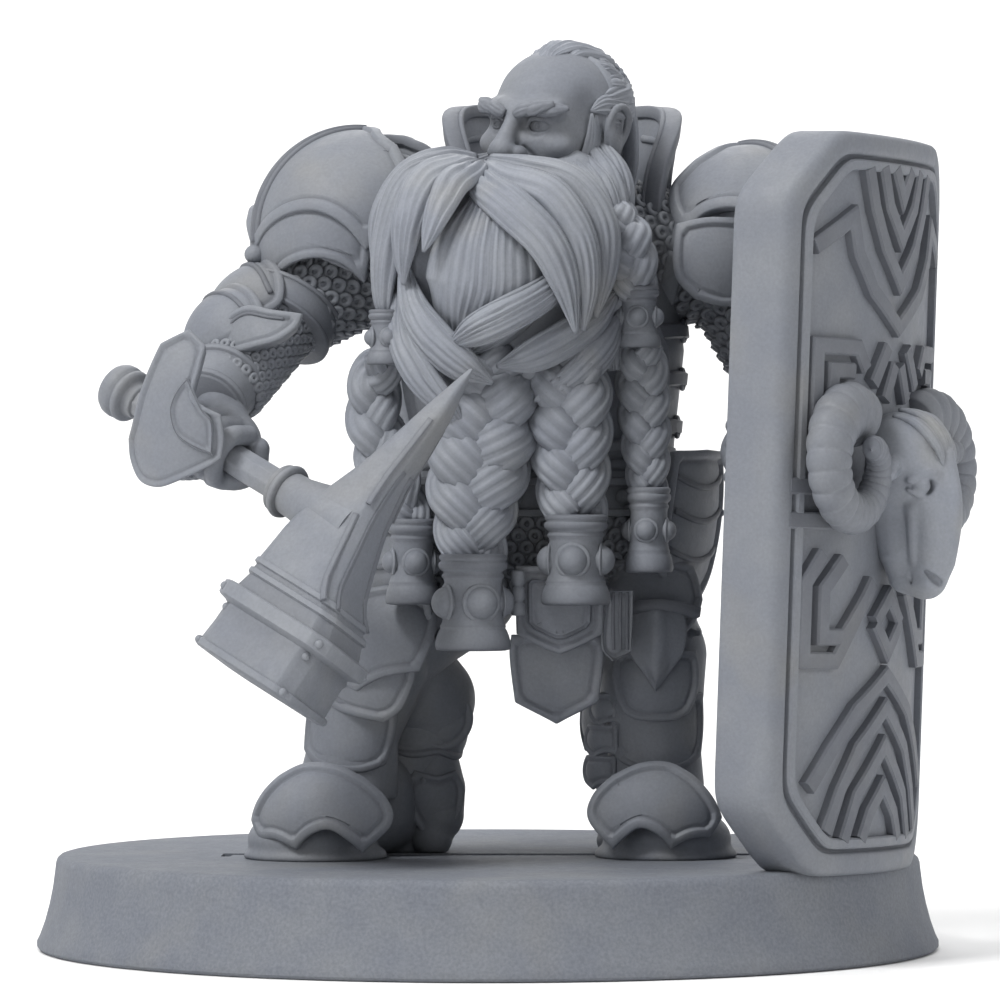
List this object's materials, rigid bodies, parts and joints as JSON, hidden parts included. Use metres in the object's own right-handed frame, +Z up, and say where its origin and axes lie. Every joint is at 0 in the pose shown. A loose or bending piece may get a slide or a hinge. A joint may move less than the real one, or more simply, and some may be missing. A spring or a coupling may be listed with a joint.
{
  "type": "painted miniature figure",
  "caption": "Bearded armoured warrior figure with a war hammer and a tall shield, on a round bevelled base, for tabletop games.",
  "frame": {"origin": "centre of the round base's underside", "axes": "+Z up; the figure's front faces -Y; +X is to the figure's left, where the shield is"},
  "size_m": [0.0336, 0.032, 0.0322],
  "materials": {
    "resin": "matte, unpainted grey casting resin",
    "brass": "drawn wire"
  },
  "bodies": {
    "root": {"base": "resin", "base_tab": "resin", "boot_right": "resin", "boot_left": "resin", "sabaton_right": "resin", "sabaton_left": "resin", "shin_right": "resin", "shin_left": "resin", "knee_plate_right": "resin", "knee_plate_left": "resin", "thigh_right": "resin", "thigh_left": "resin", "mail_skirt": "resin", "belt": "resin", "loin_plate_lower": "resin", "loin_plate_upper": "resin", "hip_plate_right": "resin", "hip_plate_left": "resin", "torso": "resin", "collar": "resin", "head": "resin", "hair": "resin", "moustache_right": "resin", "moustache_left": "resin", "beard": "resin", "braid_centre": "resin", "braid_middle": "resin", "braid_side_left": "resin", "braid_side_right": "resin", "ring_centre": "resin", "ring_middle": "resin", "ring_side_left_upper": "resin", "ring_side_left_lower": "resin", "ring_side_right_upper": "resin", "ring_side_right_lower": "resin", "pauldron_right": "resin", "pauldron_lame_right": "resin", "pauldron_left": "resin", "pauldron_lame_left": "resin", "arm_right": "resin", "arm_strap_right": "resin", "elbow_plate_right": "resin", "forearm_right": "resin", "forearm_plate_right": "resin", "hand_plate_right": "resin", "hand_right": "resin", "arm_left": "resin", "elbow_plate_left": "resin", "forearm_left": "resin", "hand_left": "resin", "hammer_haft": "resin", "hammer_pommel": "resin", "hammer_collar": "resin", "hammer_head": "resin", "shield_board": "resin", "shield_relief": "resin", "shield_boss": "resin", "shield_horns": "resin", "shield_grip": "resin", "brass_pins": "brass"}
  },
  "joints": []
}
